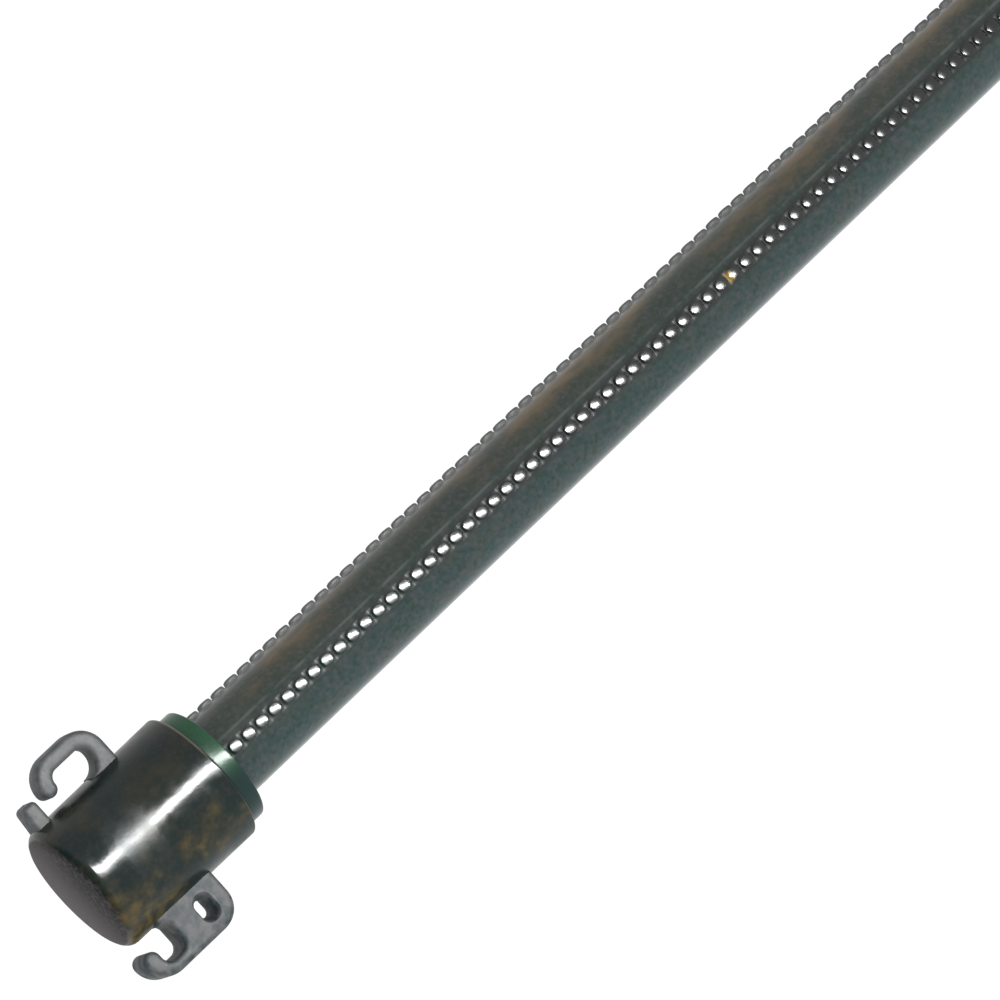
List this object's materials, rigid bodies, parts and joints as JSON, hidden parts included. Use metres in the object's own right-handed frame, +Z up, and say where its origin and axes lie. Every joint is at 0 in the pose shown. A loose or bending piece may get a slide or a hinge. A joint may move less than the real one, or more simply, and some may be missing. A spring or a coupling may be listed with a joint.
{
  "type": "metal plant stake",
  "caption": "Round plastic-coated steel plant stake with three rows of bumps, a pointed foot and a turning push-on cap that carries an open hook, a guard peg and an eye lug for garden twine.",
  "frame": {"origin": "on the stake's axis at the soil line, 200 mm above the point of the spike", "axes": "+Z up along the stake towards the cap, +X towards the open hook, -X towards the eye lug"},
  "size_m": [0.0416, 0.0256, 0.9006],
  "materials": {
    "bare_steel": "plain drawn steel, hidden under the jacket",
    "jacket_plastic": "extruded dark green plastic, semi-gloss, lightly soiled",
    "spike_plastic": "moulded dark green plastic, scuffed",
    "collar_plastic": "moulded mid green plastic, satin",
    "cap_plastic": "moulded blackish green plastic, glossy side, matt crown, brown staining"
  },
  "bodies": {
    "stake": {"steel_tube": "bare_steel", "plastic_jacket": "jacket_plastic", "ground_spike": "spike_plastic"},
    "collar": {"collar_bush": "collar_plastic"},
    "cap": {"hook_cap": "cap_plastic"}
  },
  "joints": [
    {"name": "cap_pull_off", "type": "slide", "parent": "stake", "child": "collar", "axis": [0, 0, 1], "range_m": [0, 0.032]},
    {"name": "cap_swivel", "type": "hinge", "parent": "collar", "child": "cap", "pos_m": [0, 0, 0.68], "axis": [0, 0, 1], "continuous": true}
  ]
}
